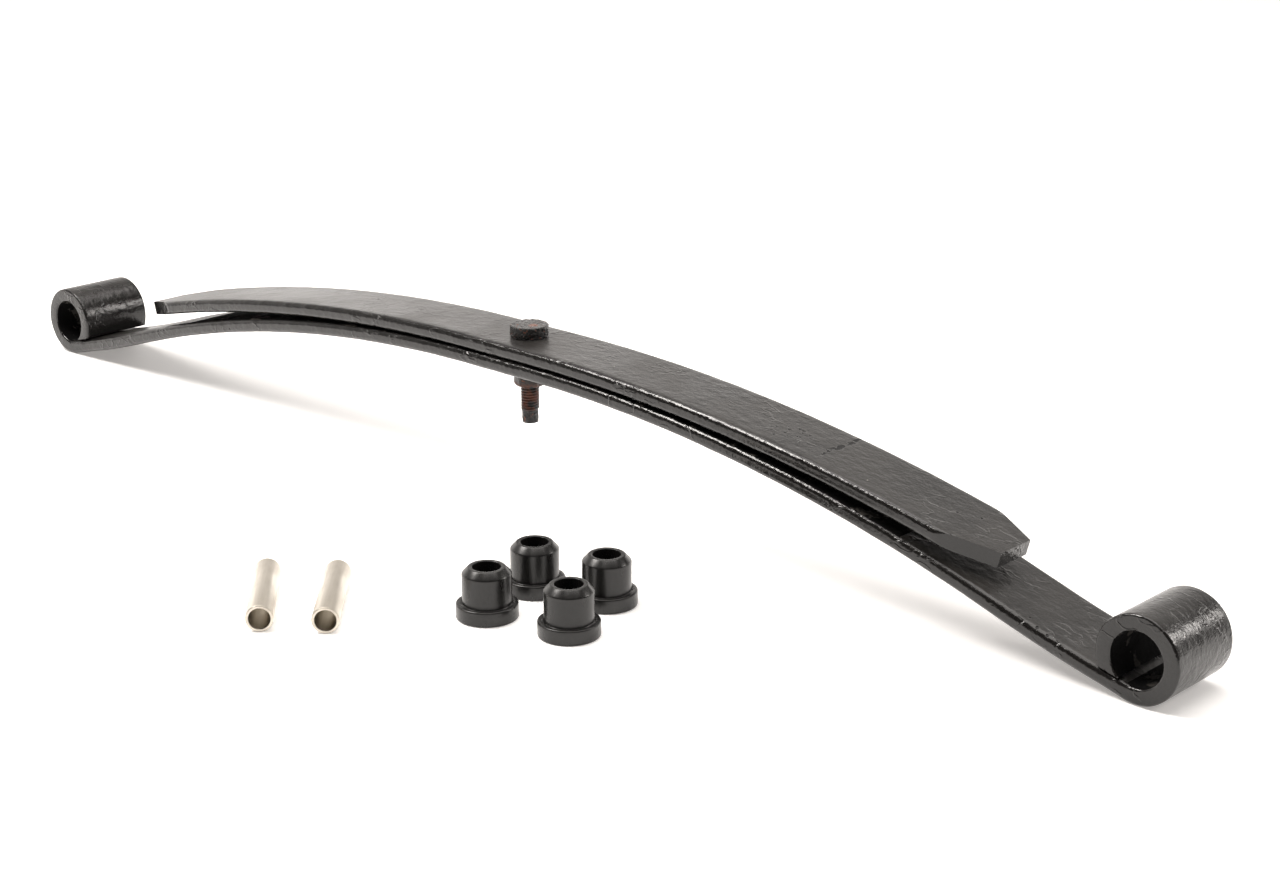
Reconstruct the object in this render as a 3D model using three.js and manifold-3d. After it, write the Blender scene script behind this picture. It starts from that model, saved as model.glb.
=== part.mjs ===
// A two-leaf suspension spring with rolled eyes, with its loose eye bushings and sleeves laid beside it.
// Millimetres, +Z up. X runs along the spring from the rear eye to the front eye, and Y runs across it.
// The origin is the centre of the footprint, on the surface that everything stands on.
import * as THREE from "three";
import { mergeVertices } from "three/addons/utils/BufferGeometryUtils.js";
import Module from "manifold-3d";

const wasm = await Module();
wasm.setup();

// ---- Driving dimensions ----
const LEAF_WIDTH = 44.45;
const LEAF_THICK = 7.9;
const LEAF_EDGE_RADIUS = 2.9;
const RUNNING_GAP = 0.3; // between pieces that rest on each other
const SPRING_Y = 102.28; // the spring's centre line, from the centre of the footprint

const SEAT_HALF = 21; // the flat clamped seat at the middle of both leaves
const MAIN_ARCH_RADIUS = 933.7;
const MAIN_ARCH_ANGLE = THREE.MathUtils.degToRad(18.15);
const RECURVE_RADIUS = 777.1;
const RECURVE_END_ANGLE = THREE.MathUtils.degToRad(12.89); // slope where the leaf meets its eye
const EYE_BORE_RADIUS = 12.5;
const EYE_TAIL_ANGLE = THREE.MathUtils.degToRad(36); // left open before the wrap would be a full turn
const EYE_TAIL_GAP = 0.7; // between the end of the wrap and the leaf it closes on

const HELPER_ARCH_RADIUS = 1129;
const HELPER_HALF_LENGTH = 310.2; // along the bent leaf
const HELPER_CLIP_LENGTH = 28.8; // of the diagonal cuts at its ends
const HELPER_TIP_WIDTH = 22.3;

const BOLT_X = 4.1; // the bolt stands this much nearer the front eye than the middle
const BOLT_HOLE_RADIUS = 5.4;
const BOLT = {
  shank: 4.75, crest: 5.05, root: 4.3, pitch: 1.5, tail: 30.2, tip: 4.5, tipLength: 7, head: 10.3, headHeight: 6.2,
};
const NUT = { acrossFlats: 14.9, height: 9.5, bore: 5.3, chamfer: 1.1, turn: THREE.MathUtils.degToRad(8) };

const BUSHING = {
  flange: 14.4, flangeHeight: 7.3, body: 11.5, bevelStart: 21.4, height: 24.5, top: 8.6, bore: 6.7,
};
const SLEEVE = { outer: 6.4, bore: 5, length: 59.2, chamfer: 0.4 };

// Where the loose pieces lie, from the spring's centre.
const BUSHING_PLACES = [
  [159.6, -129.2],
  [117.7, -139.8],
  [110.9, -102.6],
  [146.5, -91.2],
];
const SLEEVE_PLACES = [
  { x: 34.9, y: -202.5, turn: 47.8 },
  { x: 59.3, y: -182.3, turn: 44.3 },
];

// A leaf's stiff limb hinges about this share of its length out from the seat.
const FLEX_PIVOT_SHARE = 0.15;
const KNUCKLE_GAP = 0.35;

// ---- Materials ----
const blackPaint = new THREE.MeshStandardMaterial({ color: 0x262422, roughness: 0.42, metalness: 0 });
const roughPaint = new THREE.MeshStandardMaterial({ color: 0x1c1a19, roughness: 0.7, metalness: 0 });
const rubber = new THREE.MeshStandardMaterial({ color: 0x1b1a19, roughness: 0.5, metalness: 0 });
const platedSteel = new THREE.MeshStandardMaterial({ color: 0xd9d3ca, roughness: 0.3, metalness: 1 });

// ---- Bent strips ----

// A line in the X-Z plane made of straight runs and arcs that follow one another smoothly.
// Each run has a length, the angle it turns through (up is positive) and how many steps it is drawn with.
class BentLine extends THREE.Curve {
  constructor(start, heading, runs) {
    super();
    this.stations = [];
    let point = start.clone();
    let angle = heading;
    for (const { length, turn, steps } of runs) {
      for (let i = 0; i < steps; i++) {
        this.stations.push(BentLine.along(point, angle, length, turn, i / steps));
      }
      ({ point, angle } = BentLine.along(point, angle, length, turn, 1));
    }
    this.stations.push({ point, angle });
    this.steps = this.stations.length - 1;
  }

  static along(point, angle, length, turn, share) {
    const end = angle + turn * share;
    const step = turn === 0
      ? new THREE.Vector3(Math.cos(angle), 0, Math.sin(angle)).multiplyScalar(length * share)
      : new THREE.Vector3(Math.sin(end) - Math.sin(angle), 0, Math.cos(angle) - Math.cos(end))
          .multiplyScalar(length / turn);
    return { point: point.clone().add(step), angle: end };
  }

  getPoint(share, target = new THREE.Vector3()) {
    return target.copy(this.stations[Math.round(share * this.steps)].point);
  }

  // The stations set the spacing, so that tight bends are drawn finely and long arches are not.
  getPointAt(share, target) {
    return this.getPoint(share, target);
  }

  // A swept section keeps its first axis across the strip and its second on the strip's upper side.
  computeFrenetFrames() {
    const frame = (makeAxis) => this.stations.map(({ angle }) => makeAxis(Math.cos(angle), Math.sin(angle)));
    return {
      tangents: frame((cos, sin) => new THREE.Vector3(cos, 0, sin)),
      normals: frame(() => new THREE.Vector3(0, 1, 0)),
      binormals: frame((cos, sin) => new THREE.Vector3(-sin, 0, cos)),
    };
  }
}

function roundedRectangle(width, height, radius) {
  const x = width / 2;
  const y = height / 2;
  const shape = new THREE.Shape();
  shape.moveTo(-x + radius, -y);
  shape.lineTo(x - radius, -y);
  shape.absarc(x - radius, -y + radius, radius, -Math.PI / 2, 0);
  shape.lineTo(x, y - radius);
  shape.absarc(x - radius, y - radius, radius, 0, Math.PI / 2);
  shape.lineTo(-x + radius, y);
  shape.absarc(-x + radius, y - radius, radius, Math.PI / 2, Math.PI);
  shape.lineTo(-x, -y + radius);
  shape.absarc(-x + radius, -y + radius, radius, Math.PI, Math.PI * 1.5);
  return shape;
}

function strip(line) {
  const section = roundedRectangle(LEAF_WIDTH, LEAF_THICK, LEAF_EDGE_RADIUS);
  const settings = { steps: line.steps, extrudePath: line, curveSegments: 3 };
  return solid(new THREE.ExtrudeGeometry(section, settings));
}

// ---- Solids ----

function solid(geometry) {
  const bare = geometry.index ? geometry.toNonIndexed() : geometry.clone();
  for (const name of Object.keys(bare.attributes)) {
    if (name !== "position") bare.deleteAttribute(name);
  }
  const merged = mergeVertices(bare, 1e-4);
  return new wasm.Manifold(
    new wasm.Mesh({
      numProp: 3,
      vertProperties: new Float32Array(merged.attributes.position.array),
      triVerts: new Uint32Array(merged.index.array),
    }),
  );
}

function placed(geometry, x, y, z, upTilt = 0) {
  return solid(geometry.clone().rotateY(-upTilt).translate(x, y, z));
}

function piece(name, made, material) {
  const { vertProperties, triVerts, numProp } = made.getMesh();
  const positions = new Float32Array((vertProperties.length / numProp) * 3);
  for (let i = 0; i < positions.length / 3; i++) {
    positions.set(vertProperties.subarray(i * numProp, i * numProp + 3), i * 3);
  }
  const geometry = new THREE.BufferGeometry();
  geometry.setAttribute("position", new THREE.BufferAttribute(positions, 3));
  geometry.setIndex(new THREE.BufferAttribute(triVerts, 1));
  geometry.computeVertexNormals();
  const mesh = new THREE.Mesh(geometry, material);
  mesh.name = name;
  return mesh;
}

function uprightCylinder(radius, bottom, top, segments = 28) {
  const geometry = new THREE.CylinderGeometry(radius, radius, top - bottom, segments);
  return solid(geometry.rotateX(Math.PI / 2).translate(0, 0, (top + bottom) / 2));
}

// A solid turned about Z from [radius, height] points.
function turned(points, segments) {
  const profile = points.map(([radius, height]) => new THREE.Vector2(radius, height));
  return solid(new THREE.LatheGeometry(profile, segments).rotateX(Math.PI / 2));
}

// The half of space past a pivot on a leaf, with a half-round end that the other half turns on.
function beyond(pivot, roundRadius) {
  const reach = 700;
  const far = placed(
    new THREE.BoxGeometry(reach, 2 * LEAF_WIDTH, reach),
    pivot.point.x + (reach / 2) * Math.cos(pivot.angle),
    0,
    pivot.point.z + (reach / 2) * Math.sin(pivot.angle),
    pivot.angle,
  );
  const round = placed(
    new THREE.CylinderGeometry(roundRadius, roundRadius, 2 * LEAF_WIDTH, 40),
    pivot.point.x,
    0,
    pivot.point.z,
  );
  return far.add(round);
}

// ---- Leaves ----

const eyeRadius = EYE_BORE_RADIUS + LEAF_THICK / 2;
const eyeOuterRadius = EYE_BORE_RADIUS + LEAF_THICK;
const recurveTurn = MAIN_ARCH_ANGLE - RECURVE_END_ANGLE;

const seatRun = { length: SEAT_HALF, turn: 0, steps: 1 };
const mainRuns = [
  seatRun,
  { length: MAIN_ARCH_RADIUS * MAIN_ARCH_ANGLE, turn: -MAIN_ARCH_ANGLE, steps: 16 },
  { length: RECURVE_RADIUS * recurveTurn, turn: recurveTurn, steps: 6 },
];

// The drop from the seat to the eye puts the bottom of the eyes on the surface.
const eyeStart = new BentLine(new THREE.Vector3(), 0, mainRuns).stations.at(-1);
const eyeDrop = -eyeStart.point.z - eyeRadius * Math.cos(RECURVE_END_ANGLE);
const MAIN_Z = eyeOuterRadius + eyeDrop; // height of the main leaf's centre line at its seat
const eyeCentre = {
  x: eyeStart.point.x + eyeRadius * Math.sin(RECURVE_END_ANGLE),
  z: eyeOuterRadius,
};

const mainTop = MAIN_Z + LEAF_THICK / 2;
const mainBottom = MAIN_Z - LEAF_THICK / 2;
const helperBottom = mainTop + RUNNING_GAP;
const HELPER_Z = helperBottom + LEAF_THICK / 2;
const helperTop = helperBottom + LEAF_THICK;

function arcRun(radius, length, steps) {
  return { length, turn: -length / radius, steps };
}

// Where a leaf's limb hinges, given the free length outside its seat.
function pivotOf(startZ, archRadius, freeLength) {
  const reach = FLEX_PIVOT_SHARE * freeLength;
  const runs = [seatRun, arcRun(archRadius, reach, 1)];
  return new BentLine(new THREE.Vector3(0, 0, startZ), 0, runs).stations.at(-1);
}

function leafCentre(startZ, archRadius, pivot) {
  const side = SEAT_HALF + 1.2 * (pivot.point.x - SEAT_HALF);
  const arc = arcRun(archRadius, side - SEAT_HALF, 6);
  const straight = { length: 2 * SEAT_HALF, turn: 0, steps: 1 };
  const half = new BentLine(new THREE.Vector3(0, 0, startZ), 0, [seatRun, arc]).stations.at(-1);
  const line = new BentLine(
    new THREE.Vector3(-half.point.x, 0, half.point.z),
    -half.angle,
    [arc, straight, arc],
  );
  const cut = beyond(pivot, LEAF_THICK / 2 + KNUCKLE_GAP);
  const hole = uprightCylinder(BOLT_HOLE_RADIUS, startZ - LEAF_THICK, startZ + LEAF_THICK);
  return strip(line)
    .subtract(cut)
    .subtract(cut.rotate([0, 0, 180]))
    .subtract(hole.translate([BOLT_X, 0, 0]));
}

function mainLimb(pivot) {
  const start = new THREE.Vector3(0, 0, MAIN_Z);
  const stepAngle = THREE.MathUtils.degToRad(9);
  const wrapSteps = Math.round((2 * Math.PI - EYE_TAIL_ANGLE) / stepAngle);
  const tailSteps = 5;
  const arcOfSteps = (steps) => ({
    length: eyeRadius * stepAngle * steps,
    turn: stepAngle * steps,
    steps,
  });
  const wrap = arcOfSteps(wrapSteps - tailSteps);
  const leaf = strip(new BentLine(start, 0, [...mainRuns, wrap]));

  // The last of the wrap is cut to lie flat on the leaf that it closes on.
  const beforeTail = [...mainRuns, arcOfSteps(wrapSteps - tailSteps - 1)];
  const tailStart = new BentLine(start, 0, beforeTail).stations.at(-1);
  const tail = strip(new BentLine(tailStart.point, tailStart.angle, [arcOfSteps(tailSteps + 1)]));
  const bed = 20;
  const depth = EYE_BORE_RADIUS - EYE_TAIL_GAP + bed / 2;
  const below = placed(
    new THREE.BoxGeometry(80, 2 * LEAF_WIDTH, bed),
    eyeCentre.x - depth * Math.sin(RECURVE_END_ANGLE),
    0,
    eyeCentre.z - depth * Math.cos(RECURVE_END_ANGLE),
    -RECURVE_END_ANGLE,
  );
  return leaf.add(tail.subtract(below)).intersect(beyond(pivot, LEAF_THICK / 2));
}

function helperLimb(pivot) {
  const runs = [seatRun, arcRun(HELPER_ARCH_RADIUS, HELPER_HALF_LENGTH - SEAT_HALF, 16)];
  const line = new BentLine(new THREE.Vector3(0, 0, HELPER_Z), 0, runs);
  const tipX = line.stations.at(-1).point.x + 1;
  let limb = strip(line).intersect(beyond(pivot, LEAF_THICK / 2));
  for (const side of [-1, 1]) {
    const corner = new THREE.Shape();
    corner.moveTo(tipX - HELPER_CLIP_LENGTH, (side * LEAF_WIDTH) / 2);
    corner.lineTo(tipX, (side * HELPER_TIP_WIDTH) / 2);
    corner.lineTo(tipX + HELPER_CLIP_LENGTH, side * LEAF_WIDTH);
    corner.lineTo(tipX - HELPER_CLIP_LENGTH, side * LEAF_WIDTH);
    const settings = { depth: HELPER_Z + LEAF_WIDTH, bevelEnabled: false };
    limb = limb.subtract(solid(new THREE.ExtrudeGeometry(corner, settings)));
  }
  return limb;
}

// ---- Centre bolt and nut ----

function centreBolt() {
  const headBottom = helperTop + RUNNING_GAP;
  const headTop = headBottom + BOLT.headHeight;
  const end = mainBottom - BOLT.tail;
  const threadTop = mainBottom - 1;
  const profile = [
    [0, end],
    [BOLT.tip - 0.6, end],
    [BOLT.tip, end + 0.8],
    [BOLT.tip, end + BOLT.tipLength],
  ];
  for (let z = end + BOLT.tipLength + 0.4; z < threadTop - BOLT.pitch / 2; z += BOLT.pitch) {
    profile.push([BOLT.root, z], [BOLT.crest, z + BOLT.pitch / 2]);
  }
  profile.push(
    [BOLT.shank, threadTop],
    [BOLT.shank, headBottom],
    [BOLT.head - 0.4, headBottom],
    [BOLT.head, headBottom + 0.6],
    [BOLT.head, headTop - 1.2],
    [BOLT.head - 1, headTop - 0.25],
    [BOLT.head - 3, headTop],
    [0, headTop],
  );
  return turned(profile, 24);
}

function centreNut() {
  const cornerRadius = NUT.acrossFlats / Math.sqrt(3);
  const top = mainBottom - RUNNING_GAP;
  const bottom = top - NUT.height;
  const hexagon = solid(
    new THREE.CylinderGeometry(cornerRadius, cornerRadius, NUT.height, 6)
      .rotateX(Math.PI / 2)
      .rotateZ(NUT.turn)
      .translate(0, 0, (top + bottom) / 2),
  );
  const rounding = turned(
    [
      [0, bottom],
      [cornerRadius - NUT.chamfer, bottom],
      [cornerRadius + 0.2, bottom + NUT.chamfer],
      [cornerRadius + 0.2, top - NUT.chamfer],
      [cornerRadius - NUT.chamfer, top],
      [0, top],
    ],
    28,
  );
  return hexagon.intersect(rounding).subtract(uprightCylinder(NUT.bore, bottom - 1, top + 1));
}

// ---- Loose bushings and sleeves ----

function bushing() {
  const { flange, flangeHeight, body, bevelStart, height, top, bore } = BUSHING;
  return turned(
    [
      [bore, 0],
      [flange - 1, 0],
      [flange, 1],
      [flange, flangeHeight - 0.6],
      [flange - 0.6, flangeHeight],
      [body, flangeHeight],
      [body, bevelStart],
      [top, height],
      [bore, height],
      [bore, 0],
    ],
    32,
  );
}

function sleeve() {
  const { outer, bore, length, chamfer } = SLEEVE;
  const half = length / 2;
  return turned(
    [
      [bore, -half],
      [outer - chamfer, -half],
      [outer, -half + chamfer],
      [outer, half - chamfer],
      [outer - chamfer, half],
      [bore, half],
      [bore, -half],
    ],
    32,
  );
}

// ---- Assembly ----

const leafSpring = new THREE.Group();
leafSpring.position.y = SPRING_Y;

const mainFreeLength = eyeCentre.x - SEAT_HALF;
const mainPivot = pivotOf(MAIN_Z, MAIN_ARCH_RADIUS, mainFreeLength);
const helperPivot = pivotOf(HELPER_Z, HELPER_ARCH_RADIUS, HELPER_HALF_LENGTH - SEAT_HALF);

leafSpring.add(
  piece("main_leaf_centre", leafCentre(MAIN_Z, MAIN_ARCH_RADIUS, mainPivot), blackPaint),
  piece("helper_leaf_centre", leafCentre(HELPER_Z, HELPER_ARCH_RADIUS, helperPivot), blackPaint),
);

const clamp = new THREE.Group();
clamp.position.x = BOLT_X;
clamp.add(
  piece("centre_bolt", centreBolt(), roughPaint),
  piece("centre_nut", centreNut(), roughPaint),
);
leafSpring.add(clamp);

for (const [end, turn] of [["front", 0], ["rear", Math.PI]]) {
  const limbs = new THREE.Group();
  limbs.rotation.z = turn;
  limbs.add(
    piece(`main_leaf_${end}`, mainLimb(mainPivot), blackPaint),
    piece(`helper_leaf_${end}`, helperLimb(helperPivot), blackPaint),
  );
  leafSpring.add(limbs);
}

BUSHING_PLACES.forEach(([x, y], i) => {
  const mesh = piece(`eye_bushing_${i + 1}`, bushing(), rubber);
  mesh.position.set(x, y, 0);
  leafSpring.add(mesh);
});

SLEEVE_PLACES.forEach(({ x, y, turn }, i) => {
  const lying = new THREE.Group();
  lying.position.set(x, y, SLEEVE.outer);
  lying.rotation.z = THREE.MathUtils.degToRad(turn);
  const mesh = piece(`eye_sleeve_${i + 1}`, sleeve(), platedSteel);
  mesh.rotation.x = Math.PI / 2;
  lying.add(mesh);
  leafSpring.add(lying);
});

const wholePart = new THREE.Group();
wholePart.add(leafSpring);

export default wholePart;
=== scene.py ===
"""Looks for a two-leaf suspension spring and the loose bushings and sleeves of its eyes, in metres, with Z up."""

import math

import bmesh
import bpy
from bpy.props import FloatProperty, FloatVectorProperty, IntProperty, PointerProperty
from mathutils import Euler, Matrix, Vector, noise


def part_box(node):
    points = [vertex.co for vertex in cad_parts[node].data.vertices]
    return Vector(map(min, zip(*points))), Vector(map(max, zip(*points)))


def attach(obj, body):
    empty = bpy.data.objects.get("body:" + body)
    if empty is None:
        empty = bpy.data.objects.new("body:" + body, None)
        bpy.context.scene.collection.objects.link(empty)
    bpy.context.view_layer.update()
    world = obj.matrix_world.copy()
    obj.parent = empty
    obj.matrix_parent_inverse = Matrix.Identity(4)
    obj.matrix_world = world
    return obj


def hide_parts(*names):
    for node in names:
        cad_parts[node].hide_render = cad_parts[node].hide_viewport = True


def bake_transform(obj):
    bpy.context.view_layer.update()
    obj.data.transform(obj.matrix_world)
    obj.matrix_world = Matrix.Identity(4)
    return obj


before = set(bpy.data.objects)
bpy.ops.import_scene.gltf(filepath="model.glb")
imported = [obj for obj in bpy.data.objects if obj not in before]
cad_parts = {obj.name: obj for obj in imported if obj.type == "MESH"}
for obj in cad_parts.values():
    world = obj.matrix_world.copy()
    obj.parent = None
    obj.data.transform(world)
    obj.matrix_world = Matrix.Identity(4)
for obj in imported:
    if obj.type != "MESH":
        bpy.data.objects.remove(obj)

bl_info = {
    "name": "Two-leaf spring",
    "version": (1, 0, 0),
    "blender": (4, 5, 0),
    "location": "3D View > Sidebar > Leaf spring",
    "description": "Builds the leaves, bolt, nut, bushings and sleeves of a suspension spring",
    "category": "Object",
}

MM = 0.001
SEAT_BODY = "seat"
ENDS = {"front": 1, "rear": -1}  # the side of the middle that each end is on, along X
BUSHINGS = [f"eye_bushing_{i}" for i in (1, 2, 3, 4)]
SLEEVES = [f"eye_sleeve_{i}" for i in (1, 2)]


# ---- Sizes and colours that a user would change ----


def length(name, description, millimetres):
    """A property that holds a length."""
    return FloatProperty(name=name, description=description, default=millimetres * MM, unit="LENGTH", precision=5)


def angle(name, description, degrees):
    """A property that holds an angle."""
    return FloatProperty(name=name, description=description, default=math.radians(degrees), unit="ROTATION")


def share(name, description, value):
    """A property that goes from none to all."""
    return FloatProperty(name=name, description=description, default=value, min=0, max=1, subtype="FACTOR")


def colour(name, description, *rgb):
    """A property that holds a linear colour."""
    return FloatVectorProperty(name=name, description=description, default=rgb, size=3, subtype="COLOR", min=0, max=1)


class LeafSizes(bpy.types.PropertyGroup):
    """The bent strips."""

    thickness: length("Thickness", "Thickness of both leaves", 7.9)
    edge_radius: length("Edge radius", "Rounding of the rolled long edges", 3.0)
    eye_edge_radius: length("Eye edge radius", "Rounding of the edges where the leaf is rolled into an eye", 1.2)
    seat_half: length("Half seat", "Flat clamped length on each side of the bolt", 21)
    hole_radius: length("Bolt hole", "Radius of the hole for the centre bolt", 5.4)
    main_arch_radius: length("Main arch", "Radius of the main leaf's arch", 933.7)
    main_arch_angle: angle("Main arch angle", "How far the main leaf's arch turns", 18.15)
    recurve_radius: length("Recurve", "Radius of the reverse bend before the eye", 777.1)
    recurve_end: angle("Slope at the eye", "Slope where the leaf meets its eye", 12.89)
    bore_radius: length("Eye bore", "Inner radius of the eyes", 12.5)
    tail_angle: angle("Tail angle", "What the wrap of an eye lacks of a full turn", 25)
    tail_gap: length("Tail gap", "Gap between the end of the wrap and the leaf", 0.7)
    helper_arch_radius: length("Helper arch", "Radius of the helper leaf's arch", 1129)
    helper_half: length("Half helper", "Half the helper leaf's length, along the bent leaf", 310.2)
    clip_length: length("Clip length", "Length of the diagonal cuts at the helper's ends", 28.8)
    tip_width: length("Tip width", "Width left at the helper's ends", 22.3)
    bend_end: length("Bend end", "Where a flexing leaf stops bending, from the bolt", 230)
    seam_x: length("Seam", "Where the line of pits crosses the helper leaf, from the middle", 206)
    unevenness: length("Unevenness", "Depth of the waves that rolling and paint leave", 0.16)


class BoltSizes(bpy.types.PropertyGroup):
    """The centre bolt and its nut."""

    thread_radius: length("Thread radius", "Radius at the thread's crest", 5.05)
    thread_depth: length("Thread depth", "Depth of the thread", 0.6)
    pitch: length("Pitch", "Pitch of the thread", 1.5)
    shank_radius: length("Shank radius", "Radius of the plain shank", 4.75)
    head_radius: length("Head radius", "Radius of the round head", 10.3)
    head_height: length("Head height", "Height of the round head", 6.2)
    tip_length: length("Tip length", "Length of the crushed tip", 7)
    nut_flats: length("Nut across flats", "Width of the nut across its flats", 14.9)
    nut_bore: length("Nut bore", "Radius of the nut's bore", 5.3)
    nut_turn: angle("Nut turn", "How the nut has come to rest", 8)


class LooseSizes(bpy.types.PropertyGroup):
    """The bushings and sleeves."""

    flange_height: length("Flange height", "Height of a bushing's flange", 7.3)
    body_radius: length("Body radius", "Radius of a bushing's body", 11.5)
    bevel_height: length("Bevel height", "Height of the bevel at a bushing's top", 3.1)
    top_radius: length("Top radius", "Outer radius of a bushing's top", 8.6)
    bushing_bore: length("Bushing bore", "Radius of a bushing's bore", 6.7)
    sleeve_bore: length("Sleeve bore", "Inner radius of a sleeve", 5)
    sleeve_length: length("Sleeve length", "Length of a sleeve", 59.2)
    sleeve_turn_1: angle("First sleeve's turn", "How the first sleeve lies, from along Y", 47.8)
    sleeve_turn_2: angle("Second sleeve's turn", "How the second sleeve lies, from along Y", 44.3)


class Finishes(bpy.types.PropertyGroup):
    """Colours and gloss."""

    paint: colour("Paint", "Black paint on the leaves", 0.009, 0.0083, 0.0077)
    paint_dust: colour("Dusty paint", "Paint where it has gone dull", 0.019, 0.0172, 0.0155)
    paint_top_roughness: share("Top roughness", "Roughness of the paint on the flat faces", 0.36)
    paint_edge_roughness: share("Edge roughness", "Roughness of the paint on the rounded edges", 0.15)
    flaked: colour("Flaked", "Bare patches inside the eyes", 0.09, 0.083, 0.075)
    bare_speck: colour("Specks", "Specks where the paint has chipped", 0.42, 0.40, 0.37)
    bolt: colour("Bolt", "Paint on the bolt and nut", 0.008, 0.0075, 0.007)
    rust: colour("Rust", "Rust on the bolt", 0.13, 0.040, 0.018)
    rubber: colour("Bushing", "Moulded bushings", 0.0075, 0.0072, 0.0068)
    steel: colour("Plated steel", "Plating of the sleeves", 0.62, 0.575, 0.50)
    steel_streak: colour("Steel streaks", "Duller drawn streaks along the sleeves", 0.40, 0.365, 0.31)


class StageSettings(bpy.types.PropertyGroup):
    """The floor, the light and the camera."""

    camera_place: FloatVectorProperty(
        name="Camera place",
        description="Where the camera stands",
        default=(0.85208, -0.72547, 0.41662),
        subtype="XYZ",
        unit="LENGTH",
    )
    camera_heading: angle("Camera heading", "Turn of the view about Z, from along Y", 42.92)
    camera_dip: angle("Camera dip", "How far the view looks down", 18.23)
    camera_roll: angle("Camera roll", "Roll of the view", 0.14)
    camera_lens: FloatProperty(name="Lens", description="Focal length", default=66.89, unit="CAMERA")
    floor_colour: colour("Floor", "The pale floor", 0.93, 0.93, 0.93)
    floor_glow: share("Floor glow", "Light that comes up through the floor, so that shadows stay pale", 0.3)
    floor_size: length("Floor size", "Side of the floor", 14000)
    light_colour: colour("Light", "Slightly warm light", 1.0, 0.955, 0.915)
    sky_bright: FloatProperty(name="Back", description="Brightness of the back, low down", default=2.4)
    sky_fall: share("Fall", "How much the back dims upwards", 0.80)
    sky_dim: FloatProperty(name="Front", description="Brightness of the room behind the camera", default=0.06)


# ---- Shader nodes ----


class Value:
    """A shader socket. Arithmetic on it adds Math nodes."""

    def __init__(self, finish, socket):
        self.finish = finish
        self.socket = socket

    def math(self, operation, *values):
        return self.finish.node("ShaderNodeMath", {"operation": operation}, dict(enumerate(values)))

    def __add__(self, other):
        return self.math("ADD", self, other)

    def __sub__(self, other):
        return self.math("SUBTRACT", self, other)

    def __rsub__(self, other):
        return self.math("SUBTRACT", other, self)

    def __mul__(self, other):
        return self.math("MULTIPLY", self, other)

    __radd__ = __add__
    __rmul__ = __mul__

    def size(self):
        return self.math("ABSOLUTE", self)

    def larger(self, other):
        return self.math("MAXIMUM", self, other)

    def rise(self, low, high):
        """0 up to low, 1 from high on, and smooth in between. With low above high it falls instead."""
        values = {"Value": self, "From Min": low, "From Max": high}
        return self.finish.node("ShaderNodeMapRange", {"interpolation_type": "SMOOTHSTEP"}, values)


class Nodes:
    """Adds nodes to one node tree."""

    def __init__(self, tree):
        self.tree = tree

    def feed(self, socket, value):
        if isinstance(value, Value):
            self.tree.links.new(value.socket, socket)
        elif socket.type == "RGBA" and len(value) == 3:
            socket.default_value = (*value, 1)
        else:
            socket.default_value = value

    def node(self, kind, settings=None, values=None, output=0):
        """Adds a node: its settings first, then the values or links of its sockets."""
        made = self.tree.nodes.new(kind)
        for name, setting in (settings or {}).items():
            setattr(made, name, setting)
        for name, value in (values or {}).items():
            self.feed(made.inputs[name], value)
        return Value(self, made.outputs[output])

    def axis(self, vector, name):
        return self.node("ShaderNodeSeparateXYZ", values={0: vector}, output=name)

    def mix(self, factor, first, second):
        """first where factor is 0 and second where it is 1, for colours."""
        return self.node("ShaderNodeMix", {"data_type": "RGBA"}, {0: factor, 6: first, 7: second}, 2)


class Finish(Nodes):
    """One procedural material round a Principled shader."""

    def __init__(self, name, **constants):
        self.material = bpy.data.materials.new(name)
        self.material.use_nodes = True
        super().__init__(self.material.node_tree)
        self.shader = next(n for n in self.tree.nodes if n.type == "BSDF_PRINCIPLED")
        for socket, value in constants.items():
            self.feed(self.shader.inputs[socket.replace("_", " ").title().replace("Ior", "IOR")], value)
        self.place = self.node("ShaderNodeTexCoord", output="Object")
        self.facing = self.node("ShaderNodeTexCoord", output="Normal")

    def stretched(self, x, y, z):
        """Places, with each axis multiplied."""
        values = {0: self.place, 1: (x, y, z)}
        return self.node("ShaderNodeVectorMath", {"operation": "MULTIPLY"}, values)

    def grain(self, size, detail=2.0, roughness=0.5, place=None):
        """Noise from 0 to 1 with features of about this size."""
        values = {"Vector": place or self.place, "Scale": 1 / size, "Detail": detail, "Roughness": roughness}
        return self.node("ShaderNodeTexNoise", values=values)

    def cells(self, size, feature="F1", jitter=1.0):
        """Distance to the nearest of scattered points, in cell sizes."""
        values = {"Vector": self.place, "Scale": 1 / size, "Randomness": jitter}
        return self.node("ShaderNodeTexVoronoi", {"feature": feature}, values, "Distance")

    def bump(self, *layers):
        """Relief from (height from 0 to 1, depth in metres) layers, the coarse ones first."""
        height = 0.0
        for relief, depth in layers:
            height = relief * (depth / MM) + height
        values = {"Height": height, "Distance": MM, "Strength": 1.0}
        self.feed(self.shader.inputs["Normal"], self.node("ShaderNodeBump", values=values))

    def paint(self, socket, value):
        self.feed(self.shader.inputs[socket], value)


def shared(make):
    """The material that a function makes, made once."""
    return bpy.data.materials.get(make.__name__) or make()


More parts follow.
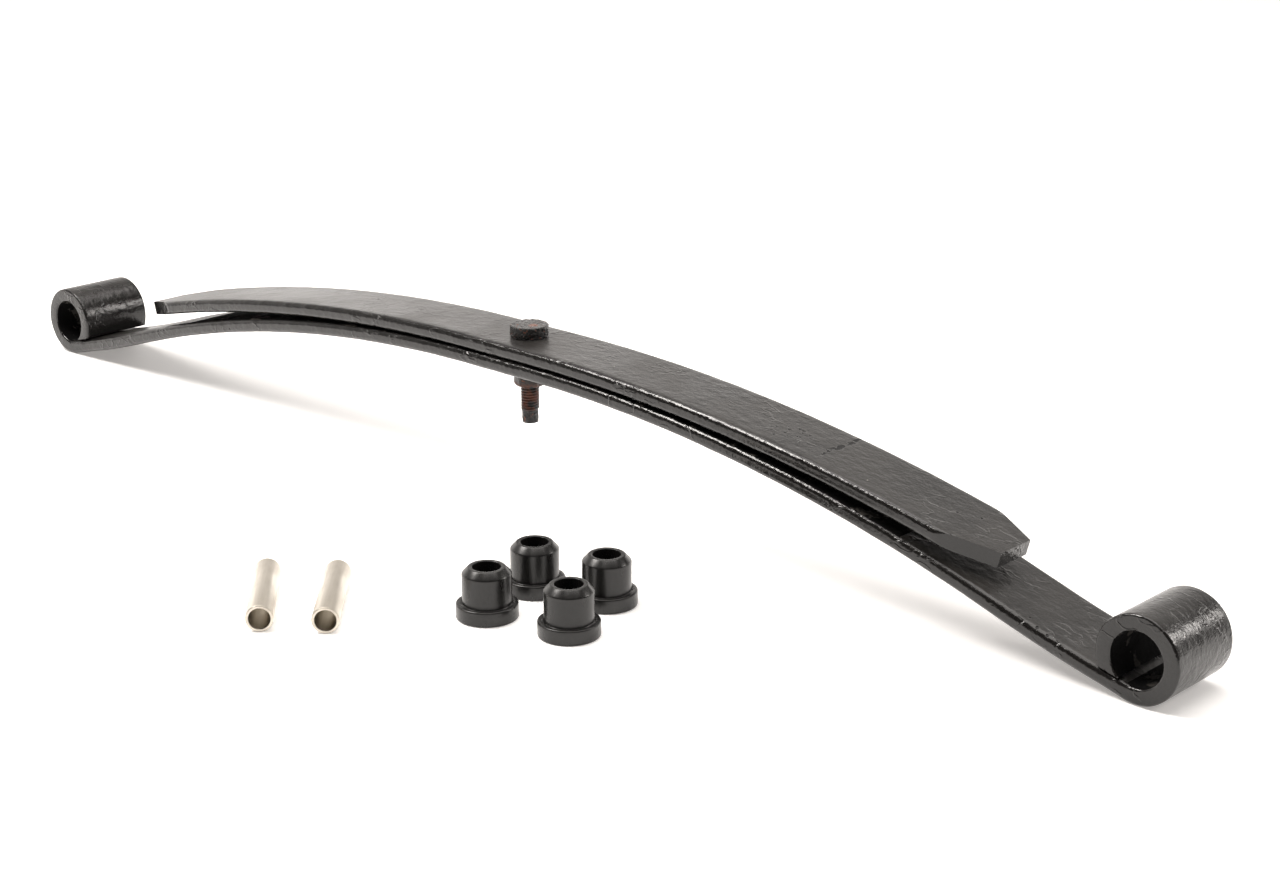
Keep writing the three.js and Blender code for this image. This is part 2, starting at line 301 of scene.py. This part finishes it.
def black_paint():
    """Thick semi-gloss black paint over rolled steel, dull on the flats and glossy on the edges."""
    colours = bpy.context.scene.spring_finishes
    finish = Finish("black_paint", metallic=0.0, ior=1.5)
    upward = finish.axis(finish.facing, "Z").size().rise(0.75, 0.98)
    clouds = finish.grain(0.045, 3, 0.6).rise(0.35, 0.68)
    wrinkles = finish.grain(0.0016, 4, 0.62)
    peel = finish.grain(0.0055, 2)
    rolled = finish.grain(0.004, 3, 0.55, finish.stretched(0.65, 1, 1))
    scale_edges = (finish.grain(0.009, 2, 0.5, finish.stretched(0.6, 1, 1)) - 0.5).size().rise(0.035, 0.005)
    scale_edges = scale_edges * finish.grain(0.026, 1).rise(0.48, 0.60)
    pits = finish.cells(0.007).rise(0.13, 0.06) * finish.grain(0.024, 1).rise(0.62, 0.68)
    pits = pits.larger(seam_pits(finish))
    specks = finish.cells(0.0085).rise(0.045, 0.03) * finish.grain(0.017, 1).rise(0.60, 0.62)
    dull = finish.mix(clouds * upward, colours.paint, colours.paint_dust)
    finish.paint("Base Color", finish.mix(specks, finish.mix(pits, dull, (0.002, 0.002, 0.002)), colours.bare_speck))
    gloss = upward * (colours.paint_top_roughness - colours.paint_edge_roughness) + colours.paint_edge_roughness
    finish.paint("Roughness", gloss + (clouds - 0.5) * 0.10 + (wrinkles - 0.5) * 0.12 + pits * 0.4)
    finish.bump(
        (peel, 0.22 * MM),
        (rolled, 0.30 * MM),
        (scale_edges, 0.16 * MM),
        (wrinkles, 0.16 * MM),
        (1 - pits, 0.60 * MM),
    )
    return finish.material


def seam_pits(finish):
    """The open seams in the steel across the helper leaf: a line of pits, and a looser group nearer the bolt."""
    sizes = bpy.context.scene.spring_leaves
    low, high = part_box("helper_leaf_front")
    x, y = finish.axis(finish.place, "X"), finish.axis(finish.place, "Y")
    wander = (finish.grain(0.006, 2) - 0.5) * 0.006
    line = (x + wander - sizes.seam_x).size().rise(0.0016, 0.0008) * y.rise(low.y + 0.010, low.y + 0.013)
    beside, away = x - sizes.seam_x + 0.022, y - low.y - 0.017
    group = (beside * beside + away * away).rise(0.00016, 0.00004) * finish.cells(0.0034).rise(0.34, 0.22)
    top = finish.axis(finish.place, "Z").rise(low.z + 0.018, low.z + 0.020)
    return (line * finish.grain(0.0035, 2).rise(0.40, 0.50)).larger(group * finish.grain(0.004, 1).rise(0.50, 0.56)) * top


def bare_scale():
    """Rough dull scale, near black with flaked patches: scale inside the eyes, where little paint has reached, and
    painted shade between the leaves, where the crevice lies in shadow.
    """
    colours = bpy.context.scene.spring_finishes
    finish = Finish("bare_scale", metallic=0.0, ior=1.15, roughness=0.9)
    lumps = finish.grain(0.003, 4, 0.65)
    flaked = finish.grain(0.010, 3, 0.6).rise(0.56, 0.62)
    # Near-black base: painted shade on the faces between the leaves, dull scale inside the eyes.
    finish.paint("Base Color", finish.mix(flaked * lumps, (0.003, 0.003, 0.003), colours.flaked))
    finish.bump((lumps, 0.4 * MM), (flaked, 0.15 * MM))
    return finish.material


def rough_paint():
    """Rough black paint that glints, with rust coming through."""
    colours = bpy.context.scene.spring_finishes
    low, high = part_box("centre_bolt")
    finish = Finish("rough_paint", metallic=0.0, ior=1.5)
    lumps = finish.grain(0.0016, 4, 0.7)
    flakes = finish.cells(0.0011)
    rusty = finish.grain(0.0026, 4, 0.65).rise(0.60, 0.66)
    height = finish.axis(finish.place, "Z")
    thread = height.rise(low.z + 0.006, low.z + 0.009) * height.rise(low.z + 0.024, low.z + 0.020)
    rusty = rusty.larger(thread * finish.grain(0.004, 3, 0.6).rise(0.40, 0.55) * 0.7)
    x, y = finish.axis(finish.place, "X"), finish.axis(finish.place, "Y")
    aside = x - (low.x + high.x) / 2 - 0.0035 + (lumps - 0.5) * 0.003
    away = y - (low.y + high.y) / 2 + 0.0005
    patch = (aside * aside + away * away).rise(0.0000085, 0.000004) * height.rise(high.z - 0.002, high.z - 0.001)
    finish.paint("Base Color", finish.mix(rusty.larger(patch), colours.bolt, colours.rust))
    finish.paint("Roughness", rusty * 0.3 + lumps * 0.45 + 0.08)
    finish.bump((lumps, 0.8 * MM), (flakes, 0.25 * MM))
    return finish.material


def moulded_rubber():
    """Satin black moulding with faint flow marks."""
    colours = bpy.context.scene.spring_finishes
    finish = Finish("moulded_rubber", metallic=0.0, ior=1.48)
    grain = finish.grain(0.0009, 3)
    flow = finish.grain(0.006, 2, place=finish.stretched(1, 1, 0.35))
    dust = finish.grain(0.012, 4, 0.6).rise(0.5, 0.8)
    finish.paint("Base Color", finish.mix(dust * 0.5, colours.rubber, (0.02, 0.019, 0.018)))
    finish.paint("Roughness", dust * 0.14 + flow * 0.12 + 0.22)
    finish.bump((flow, 0.06 * MM), (grain, 0.012 * MM))
    return finish.material


def plated_steel():
    """Bright plating over drawn tube, with streaks along it."""
    colours = bpy.context.scene.spring_finishes
    finish = Finish("plated_steel", metallic=1.0)
    drawn = finish.grain(0.0011, 3, 0.6, finish.stretched(1, 0.04, 1))
    clouds = finish.grain(0.009, 3, place=finish.stretched(1, 0.35, 1)).rise(0.4, 0.75)
    finish.paint("Base Color", finish.mix(drawn * 0.5 + clouds * 0.35, colours.steel, colours.steel_streak))
    finish.paint("Roughness", drawn * 0.16 + clouds * 0.14 + 0.24)
    finish.bump((drawn, 0.02 * MM), (clouds, 0.02 * MM))
    return finish.material


# ---- Mesh building ----


def made_object(name, mesh, finish):
    """Puts a mesh in the scene with its material, shaded smooth with sharp edges."""
    piece = bpy.data.objects.new(name, mesh)
    bpy.context.scene.collection.objects.link(piece)
    mesh.materials.append(finish)
    mesh.shade_smooth()
    mesh.set_sharp_from_angle(angle=math.radians(38))
    return piece


def grid_mesh(name, rows, closed=False):
    """A mesh over rows of points that each close on themselves. It is capped, or closed on its first row."""
    shell = bmesh.new()
    rings = [[shell.verts.new(point) for point in row] for row in rows]
    pairs = zip(rings, rings[1:] + rings[:1]) if closed else zip(rings, rings[1:])
    for ring, following in pairs:
        for i in range(len(ring)):
            j = (i + 1) % len(ring)
            shell.faces.new((ring[i], ring[j], following[j], following[i]))
    if not closed:
        shell.faces.new(rings[0])
        shell.faces.new(reversed(rings[-1]))
    bmesh.ops.remove_doubles(shell, verts=shell.verts, dist=1e-6)
    bmesh.ops.recalc_face_normals(shell, faces=shell.faces)
    mesh = bpy.data.meshes.new(name)
    shell.to_mesh(mesh)
    shell.free()
    return mesh


def applied(piece, kind, **settings):
    """Applies one modifier to a piece."""
    modifier = piece.modifiers.new(kind.title(), kind)
    for name, value in settings.items():
        setattr(modifier, name, value)
    result = bpy.data.meshes.new_from_object(piece.evaluated_get(bpy.context.evaluated_depsgraph_get()))
    piece.modifiers.clear()
    old, piece.data = piece.data, result
    bpy.data.meshes.remove(old)
    return piece


def rounded_profile(corners, steps=4):
    """A closed outline through (x, y, rounding) corners, each rounded off by its own length."""
    points = []
    for i, (x, y, rounding) in enumerate(corners):
        corner = Vector((x, y))
        before = Vector(corners[i - 1][:2]) - corner
        after = Vector(corners[(i + 1) % len(corners)][:2]) - corner
        if not rounding:
            points.append(corner)
            continue
        start, end = corner + before.normalized() * rounding, corner + after.normalized() * rounding
        for step in range(steps + 1):
            t = step / steps
            points.append(start * (1 - t) ** 2 + corner * 2 * t * (1 - t) + end * t * t)
    return points


def spaced(profile, step):
    """The outline with points added, so that none are further apart than step."""
    points = []
    for start, end in zip(profile, profile[1:] + profile[:1]):
        count = max(1, math.ceil((end - start).length / step))
        points += [start.lerp(end, i / count) for i in range(count)]
    return points


def turned_mesh(name, corners, segments=96, rough=0.0, seed=0.0, step=1.0, grain=2.5 * MM):
    """A solid turned about Z from (radius, height, rounding) corners.

    Where it is rough, its surface is sunk unevenly by up to rough, in lumps of about the size of grain.
    """
    profile = spaced(rounded_profile(corners), step)
    middle = sum(height for _, height, _ in corners) / len(corners)
    rows = []
    for radius, height in profile:
        row = []
        for i in range(segments):
            turn = 2 * math.pi * i / segments
            point = Vector((radius * math.cos(turn), radius * math.sin(turn), height))
            inward = Vector((-point.x, -point.y, 0)).normalized() + Vector((0, 0, math.copysign(0.5, middle - height)))
            row.append(point + inward * uneven(point, rough, grain, seed))
        rows.append(row)
    return grid_mesh(name, rows, closed=True)


def uneven(point, depth, size, seed=0.0):
    """How far a surface is sunk here, from none to depth."""
    return depth * (0.5 - 0.5 * noise.noise(point / size + Vector((seed, 0, 0))))


# ---- Leaves ----


def bent_line(start, runs):
    """Stations (x, z, slope, length so far) along (length, turn, steps) runs that follow one another smoothly."""
    x, z, slope, so_far = *start, 0.0, 0.0
    stations = [(x, z, slope, so_far)]
    for run, turn, steps in runs:
        for _ in range(steps):
            part, bend = run / steps, turn / steps
            chord = part * (math.sin(bend / 2) / (bend / 2) if bend else 1)
            x += chord * math.cos(slope + bend / 2)
            z += chord * math.sin(slope + bend / 2)
            slope += bend
            so_far += part
            stations.append((x, z, slope, so_far))
    return stations


def leaf_section(width, thickness, radius):
    """(across, up) points round a strip's rounded section."""
    across, up = width / 2 - radius, thickness / 2 - radius
    points = []
    for x, y, start, flats in ((across, up, 90, 2), (across, -up, 0, 18), (-across, -up, -90, 2), (-across, up, -180, 18)):
        for i in range(7):
            turn = math.radians(start - 15 * i)
            points.append(Vector((x + radius * math.cos(turn), y + radius * math.sin(turn))))
        far = Vector((x, -y)) + Vector((math.copysign(radius, x), 0))
        if flats == 18:
            far = Vector((-x, y + math.copysign(radius, y)))
        last = points[-1]
        points += [last.lerp(far, i / flats) for i in range(1, flats)]
    return points


def leaf_half(name, side, stations, trim, edge_radius):
    """Sweeps the section along stations on one side of the bolt.

    trim moves (across, up) at a length along the leaf, and edge_radius gives the section's rounding there.
    """
    sizes = bpy.context.scene.spring_leaves
    low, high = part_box("main_leaf_centre")
    middle = (low.y + high.y) / 2
    rows = []
    for x, z, slope, so_far in stations:
        radius = edge_radius(so_far)
        row = []
        for across, up in leaf_section(high.y - low.y, sizes.thickness, radius):
            across, up = trim(so_far, across, up)
            point = Vector((side * (x - up * math.sin(slope)), middle + across, z + up * math.cos(slope)))
            sunk = uneven(point, sizes.unevenness, 14 * MM) + uneven(point, sizes.unevenness / 3, 4 * MM)
            inward = Vector((side * math.sin(slope), 0, -math.cos(slope))) * math.copysign(1, up)
            if abs(across) > (high.y - low.y) / 2 - radius:
                inward += Vector((0, -across, 0)).normalized()
            row.append(point + inward * sunk)
        rows.append(row)
    piece = made_object(name, grid_mesh(name, rows), shared(black_paint))
    return bored_seat(piece)


def bored_seat(piece):
    """Cuts the bolt hole, and takes away the inner wall where the two halves of a leaf meet."""
    sizes = bpy.context.scene.spring_leaves
    bolt = sum(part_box("centre_bolt"), Vector()) / 2
    drill = bpy.data.objects.new("drill", grid_mesh("drill", [
        [
            bolt.xy.to_3d() + Vector((sizes.hole_radius, 0, z)) @ Matrix.Rotation(math.radians(a), 3, "Z")
            for a in range(0, 360, 10)
        ]
        for z in (0, 0.2)
    ]))
    bpy.context.scene.collection.objects.link(drill)
    applied(piece, "BOOLEAN", object=drill, operation="DIFFERENCE", solver="EXACT")
    bpy.data.objects.remove(drill)
    shell = bmesh.new()
    shell.from_mesh(piece.data)
    inner = [f for f in shell.faces if all(abs(v.co.x) < 1e-5 for v in f.verts)]
    bmesh.ops.delete(shell, geom=inner, context="FACES")
    shell.to_mesh(piece.data)
    shell.free()
    return piece


def main_stations():
    """The main leaf from the bolt to the end of its eye's wrap, with the wrap's start along it and its radius."""
    sizes = bpy.context.scene.spring_leaves
    low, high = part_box("main_leaf_centre")
    arch = sizes.main_arch_radius * sizes.main_arch_angle
    turn = sizes.main_arch_angle - sizes.recurve_end
    eye_radius = sizes.bore_radius + sizes.thickness / 2
    wrap = 2 * math.pi - sizes.tail_angle
    runs = [
        (sizes.seat_half, 0, 10),
        (arch, -sizes.main_arch_angle, 150),
        (sizes.recurve_radius * turn, turn, 44),
        (eye_radius * wrap, wrap, 100),
    ]
    before_eye = sum(run for run, _, _ in runs[:3])
    return bent_line((0, high.z - sizes.thickness / 2), runs), before_eye, eye_radius


def eye_axis(stations, before_eye, eye_radius):
    """The (x, z) of the eye's axis."""
    x, z, slope, _ = min(stations, key=lambda station: abs(station[3] - before_eye))
    return x - eye_radius * math.sin(slope), z + eye_radius * math.cos(slope)


def between_leaves(side):
    """A test of whether a face is on the side of a leaf that lies on the other leaf, short of its rounded edges."""
    sizes = bpy.context.scene.spring_leaves
    low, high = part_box("helper_leaf_centre")
    middle, reach_y = (low.y + high.y) / 2, (high.y - low.y) / 2 - sizes.edge_radius * 0.6
    reach_x, floor_z = sizes.helper_half * 0.84, low.z / 2

    # The faces that pass this test get near-black painted shade for the crevice between the leaves.
    def hidden(place, up):
        inside = abs(place.y - middle) < reach_y and abs(place.x) < reach_x
        return inside and up.z * side > 0.6 and place.z > floor_z

    return hidden


def left_bare(half, gets_scale_or_painted_shade):
    """Gives the faces whose middles pass the test the near-black scale material: dull scale in the eye bores, painted
    shade on faces that lie between the leaves.
    """
    half.data.materials.append(shared(bare_scale))
    for face in half.data.polygons:
        if gets_scale_or_painted_shade(face.center, face.normal):
            face.material_index = 1


class SPRING_OT_main_leaf(bpy.types.Operator):
    """Builds the main leaf with its rolled eyes, as two halves that meet at the bolt"""

    bl_idname = "spring.main_leaf"
    bl_label = "Main leaf"

    def execute(self, context):
        sizes = context.scene.spring_leaves
        stations, before_eye, eye_radius = main_stations()
        full_turn = before_eye + eye_radius * 2 * math.pi
        bed = sizes.bore_radius - sizes.tail_gap

        def closed_on_leaf(so_far, across, up):
            """Keeps the end of the wrap above the leaf that it closes on."""
            left = (full_turn - so_far) / eye_radius
            if left < math.pi / 3:
                up = max(up, eye_radius - bed / math.cos(left))
            return across, up

        def edge_radius(so_far):
            """The edges are squarer where the leaf is rolled."""
            rolled = min(1, max(0, (so_far - before_eye + 0.01) / 0.02))
            return sizes.edge_radius + (sizes.eye_edge_radius - sizes.edge_radius) * rolled

        eye_x, eye_z = eye_axis(stations, before_eye, eye_radius)
        hidden = between_leaves(1)

        def in_bore(place, side):
            return math.hypot(place.x - side * eye_x, place.z - eye_z) < sizes.bore_radius + 0.3 * MM

        for end, side in ENDS.items():
            half = leaf_half(f"main_leaf_{end}_half", side, stations, closed_on_leaf, edge_radius)
            # Faces in the eye bores get dull scale; faces that lie under the helper leaf get near-black painted shade
            # for the crevice between the leaves.
            left_bare(half, lambda place, up: in_bore(place, side) or hidden(place, up))
            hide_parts(f"main_leaf_{end}", *(["main_leaf_centre"] if side > 0 else []))
            bend_half(half)
        return {"FINISHED"}


def bend_half(half):
    """Bakes half a leaf's transform into its mesh."""
    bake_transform(half)


class SPRING_OT_helper_leaf(bpy.types.Operator):
    """Builds the helper leaf with its clipped ends, as two halves that meet at the bolt"""

    bl_idname = "spring.helper_leaf"
    bl_label = "Helper leaf"

    def execute(self, context):
        sizes = context.scene.spring_leaves
        low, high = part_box("helper_leaf_centre")
        bend = sizes.helper_half - sizes.seat_half
        runs = [(sizes.seat_half, 0, 10), (bend, -bend / sizes.helper_arch_radius, 150)]
        stations = bent_line((0, high.z - sizes.thickness / 2), runs)
        width = high.y - low.y

        def clipped(so_far, across, up):
            """Narrows the leaf along its last stretch, with flat sheared sides."""
            left = min(1, (sizes.helper_half - so_far) / sizes.clip_length)
            half_width = (sizes.tip_width + (width - sizes.tip_width) * left) / 2
            return max(-half_width, min(half_width, across)), up

        for end, side in ENDS.items():
            half = leaf_half(f"helper_leaf_{end}_half", side, stations, clipped, lambda _: sizes.edge_radius)
            # The faces that lie on the main leaf get near-black painted shade for the crevice between the leaves.
            left_bare(half, between_leaves(-1))
            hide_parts(f"helper_leaf_{end}", *(["helper_leaf_centre"] if side > 0 else []))
            bend_half(half)
        return {"FINISHED"}


# ---- Bolt and nut ----


class SPRING_OT_centre_bolt(bpy.types.Operator):
    """Builds the centre bolt with its round head and its thread"""

    bl_idname = "spring.centre_bolt"
    bl_label = "Centre bolt"

    def execute(self, context):
        sizes = context.scene.spring_bolt
        low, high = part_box("centre_bolt")
        middle = Vector(((low.x + high.x) / 2, (low.y + high.y) / 2, 0))
        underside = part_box("main_leaf_centre")[0].z
        finish = shared(rough_paint)
        top, bottom = high.z, high.z - sizes.head_height
        head = turned_mesh("bolt_head", [
            (0.1 * MM, bottom, 0),
            (sizes.head_radius, bottom, 0.3 * MM),
            (sizes.head_radius, top, 0.7 * MM),
            (0.1 * MM, top, 0),
        ], 144, 0.7 * MM, step=0.5 * MM, grain=1.3 * MM)
        head.transform(Matrix.Translation(middle))
        pieces = [made_object("centre_bolt_head", head, finish)]

        segments, step = 40, sizes.pitch / 14
        threaded = underside - 1 * MM
        rows = []
        height = low.z
        while height < bottom:
            row = []
            for i in range(segments):
                turn = 2 * math.pi * i / segments
                wave = (height / sizes.pitch - turn / (2 * math.pi)) % 1
                ridge = min(1, 2.2 * min(wave, 1 - wave))
                radius = sizes.thread_radius - sizes.thread_depth * ridge
                if height > threaded:
                    radius = sizes.shank_radius
                if height < low.z + sizes.tip_length:
                    radius = min(radius + sizes.thread_depth * ridge, 4.7 * MM)
                point = Vector((math.cos(turn), math.sin(turn), 0)) * radius + Vector((0, 0, height))
                ragged = 0.9 * MM if height < low.z + sizes.tip_length else 0.2 * MM
                point -= Vector((point.x, point.y, 0)).normalized() * uneven(point, ragged, 1.3 * MM)
                row.append(point + middle)
            rows.append(row)
            height += step if height < threaded else 2 * MM
        shank = made_object("centre_bolt_shank", grid_mesh("bolt_shank", rows), finish)
        pieces.append(shank)
        for piece in pieces:
            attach(piece, SEAT_BODY)
        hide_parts("centre_bolt")
        return {"FINISHED"}


class SPRING_OT_centre_nut(bpy.types.Operator):
    """Builds the chamfered nut under the main leaf"""

    bl_idname = "spring.centre_nut"
    bl_label = "Centre nut"

    def execute(self, context):
        sizes = context.scene.spring_bolt
        low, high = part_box("centre_nut")
        middle = Vector(((low.x + high.x) / 2, (low.y + high.y) / 2, 0))
        flat = sizes.nut_flats / 2
        corner = flat / math.cos(math.radians(30))
        segments = 96
        outline = []
        for height, reach in (
            (low.z, corner - 0.9 * MM),
            (low.z + 0.5 * MM, corner),
            (high.z - 0.5 * MM, corner),
            (high.z, corner - 0.9 * MM),
        ):
            row = []
            for i in range(segments):
                turn = 2 * math.pi * i / segments
                from_flat = (turn + math.pi / 6) % (math.pi / 3) - math.pi / 6
                radius = min(flat / math.cos(from_flat), reach, corner - 0.25 * MM)
                way = turn + sizes.nut_turn
                row.append(middle + Vector((radius * math.cos(way), radius * math.sin(way), height)))
            outline.append(row)
        for height in (high.z, low.z):
            outline.append([
                middle + Vector((
                    sizes.nut_bore * math.cos(2 * math.pi * i / segments + sizes.nut_turn),
                    sizes.nut_bore * math.sin(2 * math.pi * i / segments + sizes.nut_turn),
                    height,
                ))
                for i in range(segments)
            ])
        nut = made_object("centre_nut_detailed", grid_mesh("centre_nut", outline, closed=True), shared(rough_paint))
        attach(nut, SEAT_BODY)
        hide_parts("centre_nut")
        return {"FINISHED"}


# ---- Bushings and sleeves ----


class SPRING_OT_bushings(bpy.types.Operator):
    """Builds the flanged bushings that stand beside the spring"""

    bl_idname = "spring.bushings"
    bl_label = "Bushings"

    def execute(self, context):
        sizes = context.scene.spring_loose
        finish = shared(moulded_rubber)
        for number, node in enumerate(BUSHINGS, 1):
            low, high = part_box(node)
            flange, height = (high.x - low.x) / 2, high.z
            mesh = turned_mesh(node, [
                (sizes.bushing_bore, 0, 0.4 * MM),
                (flange, 0, 1.0 * MM),
                (flange, sizes.flange_height, 0.9 * MM),
                (sizes.body_radius + 0.9 * MM, sizes.flange_height, 0.2 * MM),
                (sizes.body_radius + 0.5 * MM, sizes.flange_height - 0.5 * MM, 0.2 * MM),
                (sizes.body_radius, sizes.flange_height, 0.3 * MM),
                (sizes.body_radius, height - sizes.bevel_height, 0.5 * MM),
                (sizes.top_radius, height, 0.35 * MM),
                (sizes.bushing_bore, height, 0.5 * MM),
            ], 96, 0.05 * MM, number)
            piece = made_object(f"{node}_moulded", mesh, finish)
            piece.location = ((low.x + high.x) / 2, (low.y + high.y) / 2, 0)
            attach(piece, f"bushing_{number}")
            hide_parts(node)
        return {"FINISHED"}


class SPRING_OT_sleeves(bpy.types.Operator):
    """Builds the plated sleeves that lie beside the spring"""

    bl_idname = "spring.sleeves"
    bl_label = "Sleeves"

    def execute(self, context):
        sizes = context.scene.spring_loose
        finish = shared(plated_steel)
        for number, node in enumerate(SLEEVES, 1):
            low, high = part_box(node)
            outer, half = (high.z - low.z) / 2, sizes.sleeve_length / 2
            turn = getattr(sizes, f"sleeve_turn_{number}")
            mesh = turned_mesh(node, [
                (sizes.sleeve_bore, -half, 0.3 * MM),
                (outer, -half, 0.45 * MM),
                (outer, half, 0.45 * MM),
                (sizes.sleeve_bore, half, 0.3 * MM),
            ], 96, 0.06 * MM, 7 * number)
            mesh.transform(Matrix.Rotation(math.pi / 2, 4, "X"))
            piece = made_object(f"{node}_plated", mesh, finish)
            piece.location = (low + high) / 2
            piece.rotation_euler.z = turn
            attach(piece, f"sleeve_{number}")
            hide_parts(node)
        return {"FINISHED"}


# ---- Stage ----


def soft_light(name, place, aim, width, height, watts):
    """A soft rectangular light at place that faces aim."""
    light = bpy.data.lights.new(name, "AREA")
    light.shape = "RECTANGLE"
    light.size, light.size_y, light.energy = width, height, watts
    light.color = bpy.context.scene.spring_stage.light_colour
    lamp = bpy.data.objects.new(name, light)
    lamp.location = place
    lamp.rotation_euler = (Vector(aim) - Vector(place)).to_track_quat("-Z", "Y").to_euler()
    bpy.context.scene.collection.objects.link(lamp)
    return lamp


def studio_sky(settings):
    """A room that is bright low down at the back and dark on the camera's side. The camera sees it white."""
    world = bpy.data.worlds.new("studio")
    world.use_nodes = True
    bpy.context.scene.world = world
    nodes = Nodes(world.node_tree)
    background = next(n for n in world.node_tree.nodes if n.type == "BACKGROUND")
    way = nodes.node("ShaderNodeTexCoord", output="Generated")
    facing = nodes.node("ShaderNodeVectorMath", {"operation": "DOT_PRODUCT"}, {0: way, 1: (-0.68, 0.73, 0)}, "Value")
    height = nodes.axis(way, "Z")
    back = facing.rise(-0.2, 0.75) * (settings.sky_bright - settings.sky_dim)
    back = back * (1 - height.rise(0.0, 0.62) * settings.sky_fall)
    seen = nodes.node("ShaderNodeLightPath", output="Is Camera Ray")
    nodes.feed(background.inputs["Strength"], seen.larger(back + settings.sky_dim))
    nodes.feed(background.inputs["Color"], nodes.mix(seen, settings.light_colour, (1, 1, 1)))


class SPRING_OT_stage(bpy.types.Operator):
    """Sets the pale floor, the soft light and the camera"""

    bl_idname = "spring.stage"
    bl_label = "Stage"

    def execute(self, context):
        settings = context.scene.spring_stage
        half = settings.floor_size / 2
        corners = [[(-half, -half, 0), (half, -half, 0), (half, half, 0), (-half, half, 0)]]
        mesh = bpy.data.meshes.new("floor")
        mesh.from_pydata(corners[0], [], [(0, 1, 2, 3)])
        floor = bpy.data.objects.new("floor", mesh)
        context.scene.collection.objects.link(floor)
        pale = Finish("pale_floor", roughness=0.9, emission_strength=settings.floor_glow)
        pale.paint("Emission Color", settings.light_colour)
        pale.paint("Base Color", settings.floor_colour)
        mesh.materials.append(pale.material)

        studio_sky(settings)
        soft_light("ceiling_light", (0.1, 0.3, 2.3), (0, 0.1, 0), 2.2, 2.2, 52)
        soft_light("front_light", (-0.75, -0.55, 1.5), (0, 0.1, 0), 0.6, 0.6, 30)
        soft_light("back_light", (1.35, 1.45, 1.0), (0.35, 0.1, 0), 0.5, 0.5, 12)

        lens = bpy.data.cameras.new("camera")
        lens.lens = settings.camera_lens
        lens.sensor_width = 36
        camera = bpy.data.objects.new("camera", lens)
        camera.location = settings.camera_place
        turned = Euler((math.pi / 2 - settings.camera_dip, 0, settings.camera_heading)).to_matrix()
        camera.rotation_euler = (turned @ Matrix.Rotation(settings.camera_roll, 3, "Z")).to_euler()
        context.scene.collection.objects.link(camera)
        context.scene.camera = camera
        context.scene.view_settings.view_transform = "Standard"
        return {"FINISHED"}


# ---- Add-on ----

OPERATORS = (
    SPRING_OT_main_leaf,
    SPRING_OT_helper_leaf,
    SPRING_OT_centre_bolt,
    SPRING_OT_centre_nut,
    SPRING_OT_bushings,
    SPRING_OT_sleeves,
    SPRING_OT_stage,
)
SETTINGS = {
    "spring_leaves": LeafSizes,
    "spring_bolt": BoltSizes,
    "spring_loose": LooseSizes,
    "spring_finishes": Finishes,
    "spring_stage": StageSettings,
}


class SPRING_PT_panel(bpy.types.Panel):
    """Lists what builds the spring"""

    bl_idname = "SPRING_PT_panel"
    bl_label = "Leaf spring"
    bl_space_type = "VIEW_3D"
    bl_region_type = "UI"
    bl_category = "Leaf spring"

    def draw(self, context):
        for operator in OPERATORS:
            self.layout.operator(operator.bl_idname)


def register():
    for settings in SETTINGS.values():
        bpy.utils.register_class(settings)
    for name, settings in SETTINGS.items():
        setattr(bpy.types.Scene, name, PointerProperty(type=settings))
    for kind in (*OPERATORS, SPRING_PT_panel):
        bpy.utils.register_class(kind)


def unregister():
    for kind in reversed((*OPERATORS, SPRING_PT_panel)):
        bpy.utils.unregister_class(kind)
    for name in SETTINGS:
        delattr(bpy.types.Scene, name)
    for settings in reversed(SETTINGS.values()):
        bpy.utils.unregister_class(settings)


def main():
    register()
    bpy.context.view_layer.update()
    for operator in OPERATORS:
        area, action = operator.bl_idname.split(".")
        getattr(getattr(bpy.ops, area), action)()


if __name__ == "__main__":
    main()
